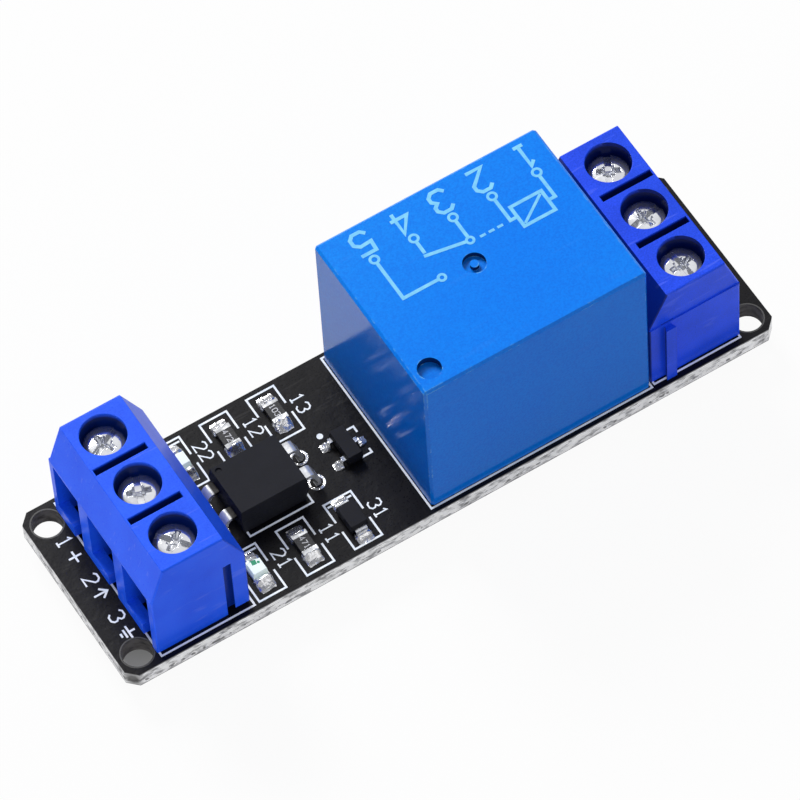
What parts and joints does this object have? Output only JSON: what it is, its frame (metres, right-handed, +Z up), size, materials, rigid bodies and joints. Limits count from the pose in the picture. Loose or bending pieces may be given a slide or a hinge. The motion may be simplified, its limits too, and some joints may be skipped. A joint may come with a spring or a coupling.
{
  "type": "relay module board",
  "caption": "Narrow black circuit board with a blue changeover relay, an opto-isolated driver stage and a blue screw terminal block at each end, for switching a load from a small signal.",
  "frame": {"origin": "under the middle of the board, at the level of the trimmed pin tips that it stands on", "axes": "+X along the board from the input to the output terminals, +Y across it, +Z up out of the component side"},
  "size_m": [0.0568, 0.0166, 0.0186],
  "materials": {
    "solder_mask": "black solder mask over glass-fibre laminate, semi-gloss",
    "terminal_blue": "moulded blue nylon, satin",
    "relay_blue": "moulded blue plastic, smooth with a soft gloss",
    "plated_steel": "bright zinc-plated steel",
    "tinned_brass": "tin-plated brass strip",
    "bright_solder": "bright solder",
    "tinned_lead": "tinned lead frame",
    "black_epoxy": "black moulded epoxy, fine matte grain",
    "resistor_film": "black overglaze on a white ceramic bar",
    "led_laminate": "pale laminate base",
    "led_clear": "clear cast resin with a faint tint",
    "relay_black": "black moulded base",
    "bobbin_white": "ivory moulded spool",
    "winding_copper": "enamelled copper wire",
    "soft_iron": "nickel-plated soft iron",
    "spring_bronze": "bare spring bronze",
    "contact_silver": "silver alloy contact"
  },
  "bodies": {
    "board": {"circuit_board": "solder_mask", "input_terminal_housing": "terminal_blue", "output_terminal_housing": "terminal_blue", "input_contact_1": "tinned_brass", "input_contact_2": "tinned_brass", "input_contact_3": "tinned_brass", "output_contact_1": "tinned_brass", "output_contact_2": "tinned_brass", "output_contact_3": "tinned_brass", "relay_cover": "relay_blue", "relay_base": "relay_black", "coil_bobbin": "bobbin_white", "coil_winding": "winding_copper", "coil_pins": "tinned_brass", "magnet_core": "soft_iron", "magnet_yoke": "soft_iron", "blade_leg": "spring_bronze", "common_terminal": "tinned_brass", "open_contact": "tinned_brass", "open_rivet": "contact_silver", "closed_contact": "tinned_brass", "closed_rivet": "contact_silver", "optocoupler_body": "black_epoxy", "optocoupler_leads": "tinned_lead", "transistor_body": "black_epoxy", "transistor_leads": "tinned_lead", "diode_body": "black_epoxy", "diode_leads": "tinned_lead", "resistor_1": "resistor_film", "resistor_2": "resistor_film", "resistor_3": "resistor_film", "resistor_caps": "tinned_lead", "led_1_base": "led_laminate", "led_1_lens": "led_clear", "led_2_base": "led_laminate", "led_2_lens": "led_clear", "led_caps": "tinned_lead", "chip_solder": "bright_solder", "pin_solder": "bright_solder"},
    "input_clamp_1": {"input_wire_guard_1": "plated_steel"},
    "input_turn_1": {"input_screw_1": "plated_steel"},
    "input_clamp_2": {"input_wire_guard_2": "plated_steel"},
    "input_turn_2": {"input_screw_2": "plated_steel"},
    "input_clamp_3": {"input_wire_guard_3": "plated_steel"},
    "input_turn_3": {"input_screw_3": "plated_steel"},
    "output_clamp_1": {"output_wire_guard_1": "plated_steel"},
    "output_turn_1": {"output_screw_1": "plated_steel"},
    "output_clamp_2": {"output_wire_guard_2": "plated_steel"},
    "output_turn_2": {"output_screw_2": "plated_steel"},
    "output_clamp_3": {"output_wire_guard_3": "plated_steel"},
    "output_turn_3": {"output_screw_3": "plated_steel"},
    "armature": {"armature": "soft_iron", "contact_blade": "spring_bronze", "moving_rivet": "contact_silver"}
  },
  "joints": [
    {"name": "input_clamp_slide_1", "type": "slide", "parent": "board", "child": "input_clamp_1", "axis": [0, 0, 1], "range_m": [-0.0016, 0.0008]},
    {"name": "input_screw_turn_1", "type": "hinge", "parent": "input_clamp_1", "child": "input_turn_1", "pos_m": [-0.02195, 0.005, 0.0114], "axis": [0, 0, 1], "range_deg": [-1285, 645]},
    {"name": "input_clamp_slide_2", "type": "slide", "parent": "board", "child": "input_clamp_2", "axis": [0, 0, 1], "range_m": [-0.0016, 0.0008]},
    {"name": "input_screw_turn_2", "type": "hinge", "parent": "input_clamp_2", "child": "input_turn_2", "pos_m": [-0.02195, 0, 0.0114], "axis": [0, 0, 1], "range_deg": [-1285, 645]},
    {"name": "input_clamp_slide_3", "type": "slide", "parent": "board", "child": "input_clamp_3", "axis": [0, 0, 1], "range_m": [-0.0016, 0.0008]},
    {"name": "input_screw_turn_3", "type": "hinge", "parent": "input_clamp_3", "child": "input_turn_3", "pos_m": [-0.02195, -0.005, 0.0114], "axis": [0, 0, 1], "range_deg": [-1285, 645]},
    {"name": "output_clamp_slide_1", "type": "slide", "parent": "board", "child": "output_clamp_1", "axis": [0, 0, 1], "range_m": [-0.0016, 0.0008]},
    {"name": "output_screw_turn_1", "type": "hinge", "parent": "output_clamp_1", "child": "output_turn_1", "pos_m": [0.02195, 0.005, 0.0114], "axis": [0, 0, 1], "range_deg": [-1285, 645]},
    {"name": "output_clamp_slide_2", "type": "slide", "parent": "board", "child": "output_clamp_2", "axis": [0, 0, 1], "range_m": [-0.0016, 0.0008]},
    {"name": "output_screw_turn_2", "type": "hinge", "parent": "output_clamp_2", "child": "output_turn_2", "pos_m": [0.02195, 0, 0.0114], "axis": [0, 0, 1], "range_deg": [-1285, 645]},
    {"name": "output_clamp_slide_3", "type": "slide", "parent": "board", "child": "output_clamp_3", "axis": [0, 0, 1], "range_m": [-0.0016, 0.0008]},
    {"name": "output_screw_turn_3", "type": "hinge", "parent": "output_clamp_3", "child": "output_turn_3", "pos_m": [0.02195, -0.005, 0.0114], "axis": [0, 0, 1], "range_deg": [-1285, 645]},
    {"name": "armature_pull_in", "type": "hinge", "parent": "board", "child": "armature", "pos_m": [0.001, 0, 0.01435], "axis": [0, 1, 0], "range_deg": [0, 2.25], "stiffness_Nm_per_rad": 0.05, "springref_deg": -2.29}
  ],
  "couplings": [
    {"joint": "input_screw_turn_1", "follows": "input_clamp_slide_1", "rad_per_m": 13963},
    {"joint": "input_screw_turn_2", "follows": "input_clamp_slide_2", "rad_per_m": 13963},
    {"joint": "input_screw_turn_3", "follows": "input_clamp_slide_3", "rad_per_m": 13963},
    {"joint": "output_screw_turn_1", "follows": "output_clamp_slide_1", "rad_per_m": 13963},
    {"joint": "output_screw_turn_2", "follows": "output_clamp_slide_2", "rad_per_m": 13963},
    {"joint": "output_screw_turn_3", "follows": "output_clamp_slide_3", "rad_per_m": 13963}
  ]
}
